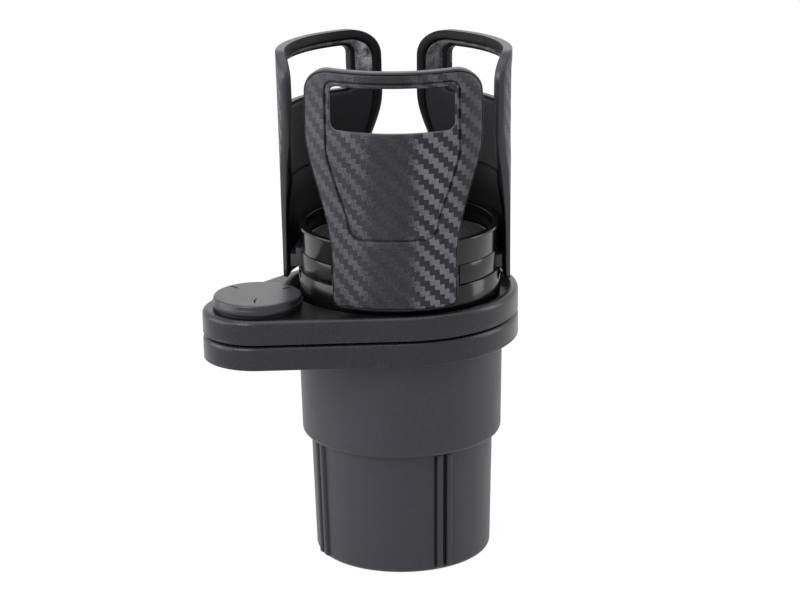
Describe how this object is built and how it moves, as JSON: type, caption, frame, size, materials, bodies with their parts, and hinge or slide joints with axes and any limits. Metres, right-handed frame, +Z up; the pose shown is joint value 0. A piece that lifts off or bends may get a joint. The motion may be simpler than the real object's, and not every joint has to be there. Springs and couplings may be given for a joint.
{
  "type": "car cup holder",
  "caption": "Swing-out car cup holder: a stepped ribbed base cup, two teardrop plates on a pivot, and a ring with sliding claws that grip a cup.",
  "frame": {"origin": "middle of the base cup's underside, on the cup's axis", "axes": "+Z up along the cup's axis; the swing pivot lies towards -X"},
  "size_m": [0.1282, 0.0924, 0.201],
  "materials": {
    "satin_black": "fine-textured satin moulded plastic",
    "gloss_black": "polished black plastic",
    "twill_skin": "embossed carbon twill",
    "dark_lining": "matt rubber lining",
    "soft_mat": "matt ribbed rubber",
    "screw_steel": "zinc-plated steel",
    "pale_nylon": "natural nylon"
  },
  "bodies": {
    "base": {"base_cup": "satin_black", "retainer_ring": "satin_black", "base_mat": "soft_mat"},
    "lower_arm": {"lower_plate": "satin_black", "lower_cover": "satin_black", "lower_cover_screws": "screw_steel", "pivot_bolt": "screw_steel", "thrust_washer": "pale_nylon", "spring_washer": "screw_steel", "pivot_nut": "screw_steel"},
    "upper_arm": {"upper_plate": "satin_black", "upper_cover": "satin_black", "upper_cover_screws": "screw_steel", "pivot_bush": "pale_nylon", "pivot_cap": "satin_black", "ring_base": "gloss_black", "ring_collar": "gloss_black", "ring_screws": "screw_steel", "collar_screws": "screw_steel", "cup_mat": "soft_mat"},
    "claw_right": {"slider_right": "satin_black", "grip_spring_right": "screw_steel", "claw_frame_right": "satin_black", "claw_cover_right": "twill_skin", "claw_pad_right": "dark_lining", "claw_screws_right": "screw_steel"},
    "claw_left": {"slider_left": "satin_black", "grip_spring_left": "screw_steel", "claw_frame_left": "satin_black", "claw_cover_left": "twill_skin", "claw_pad_left": "dark_lining", "claw_screws_left": "screw_steel"},
    "claw_front": {"slider_front": "satin_black", "grip_spring_front": "screw_steel", "claw_frame_front": "satin_black", "claw_cover_front": "twill_skin", "claw_pad_front": "dark_lining", "claw_screws_front": "screw_steel"}
  },
  "joints": [
    {"name": "base_turn", "type": "hinge", "parent": "base", "child": "lower_arm", "pos_m": [0, 0, 0.0886], "axis": [0, 0, 1], "continuous": true},
    {"name": "arm_swing", "type": "hinge", "parent": "lower_arm", "child": "upper_arm", "pos_m": [-0.0608, 0, 0.0986], "axis": [0, 0, 1], "range_deg": [-180, 180]},
    {"name": "claw_slide_right", "type": "slide", "parent": "upper_arm", "child": "claw_right", "axis": [1, 0, 0], "range_m": [0, 0.014]},
    {"name": "claw_slide_left", "type": "slide", "parent": "upper_arm", "child": "claw_left", "axis": [-0.5, 0.866, 0], "range_m": [-0.0026, 0.0114]},
    {"name": "claw_slide_front", "type": "slide", "parent": "upper_arm", "child": "claw_front", "axis": [-0.5, -0.866, 0], "range_m": [0, 0.014]}
  ]
}
